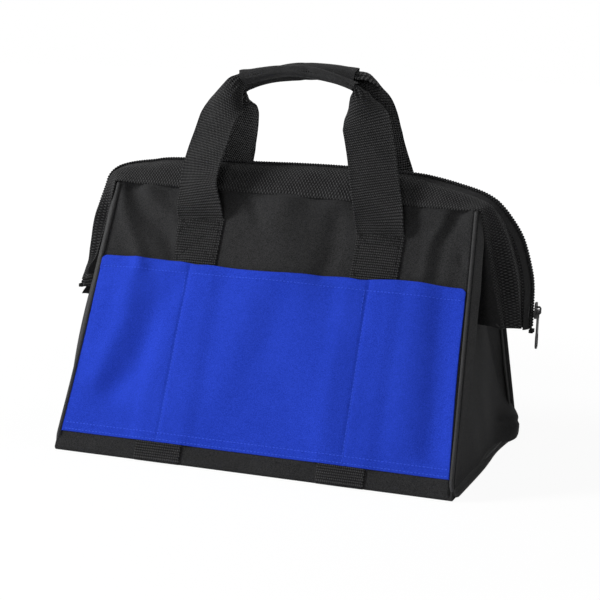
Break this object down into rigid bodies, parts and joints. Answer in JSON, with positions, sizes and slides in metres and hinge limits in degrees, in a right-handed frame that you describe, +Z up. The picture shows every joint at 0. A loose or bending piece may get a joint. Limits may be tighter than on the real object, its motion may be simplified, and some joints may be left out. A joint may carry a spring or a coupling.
{
  "type": "zippered tool bag",
  "caption": "Wide-mouth cloth tool bag with leaning walls, flat outer pocket panels, a zipper that runs over both ends, and a pair of webbing handles.",
  "frame": {"origin": "middle of the underside of the base, where the bag rests", "axes": "+X along the bag towards the end with the closed slider, +Y towards the back, +Z up"},
  "size_m": [0.378, 0.212, 0.2974],
  "materials": {
    "black_cloth": "matt woven polyester",
    "black_webbing": "ribbed webbing",
    "binding_cloth": "fine matt tape",
    "blue_cloth": "matt woven polyester",
    "board": "matt",
    "coil": "satin nylon",
    "dark_metal": "satin black enamel"
  },
  "bodies": {
    "base": {"bottom_panel": "black_cloth", "base_board": "board", "left_end_panel": "black_cloth", "right_end_panel": "black_cloth", "left_bottom_binding": "binding_cloth", "right_bottom_binding": "binding_cloth", "left_zip_stop": "dark_metal", "right_zip_stop": "dark_metal"},
    "front_wall": {"front_panel": "black_cloth", "front_pocket": "blue_cloth", "front_mouth_band": "black_webbing", "front_zip_tape": "black_cloth", "front_zip_coil": "coil", "front_left_strap": "black_webbing", "front_right_strap": "black_webbing", "front_left_binding": "binding_cloth", "front_right_binding": "binding_cloth", "front_left_gusset": "black_cloth", "front_right_gusset": "black_cloth"},
    "back_wall": {"back_panel": "black_cloth", "back_pocket": "blue_cloth", "back_mouth_band": "black_webbing", "back_zip_tape": "black_cloth", "back_zip_coil": "coil", "back_left_strap": "black_webbing", "back_right_strap": "black_webbing", "back_left_binding": "binding_cloth", "back_right_binding": "binding_cloth", "back_left_gusset": "black_cloth", "back_right_gusset": "black_cloth"},
    "front_handle": {"front_handle_webbing": "black_webbing", "front_grip_sleeve": "black_cloth"},
    "back_handle": {"back_handle_webbing": "black_webbing", "back_grip_sleeve": "black_cloth"},
    "slider": {"zip_slider": "dark_metal"},
    "pull": {"zip_pull": "dark_metal"}
  },
  "joints": [
    {"name": "mouth_open", "type": "hinge", "parent": "base", "child": "front_wall", "pos_m": [0, -0.105, 0], "axis": [1, 0, 0], "range_deg": [0, 12]},
    {"name": "back_wall_open", "type": "hinge", "parent": "base", "child": "back_wall", "pos_m": [0, 0.105, 0], "axis": [-1, 0, 0], "range_deg": [0, 12]},
    {"name": "front_handle_swing", "type": "hinge", "parent": "front_wall", "child": "front_handle", "pos_m": [0, -0.03374, 0.17668], "axis": [1, 0, 0], "range_deg": [0, 160]},
    {"name": "back_handle_swing", "type": "hinge", "parent": "back_wall", "child": "back_handle", "pos_m": [0, 0.03374, 0.17668], "axis": [-1, 0, 0], "range_deg": [0, 160]},
    {"name": "slider_travel", "type": "slide", "parent": "base", "child": "slider", "axis": [0, 0, 1], "range_m": [0, 0.025]},
    {"name": "pull_swing", "type": "hinge", "parent": "slider", "child": "pull", "pos_m": [0.1892, 0, 0.1243], "axis": [0, -1, 0], "range_deg": [0, 180]}
  ],
  "couplings": [
    {"joint": "back_wall_open", "follows": "mouth_open", "ratio": 1}
  ]
}
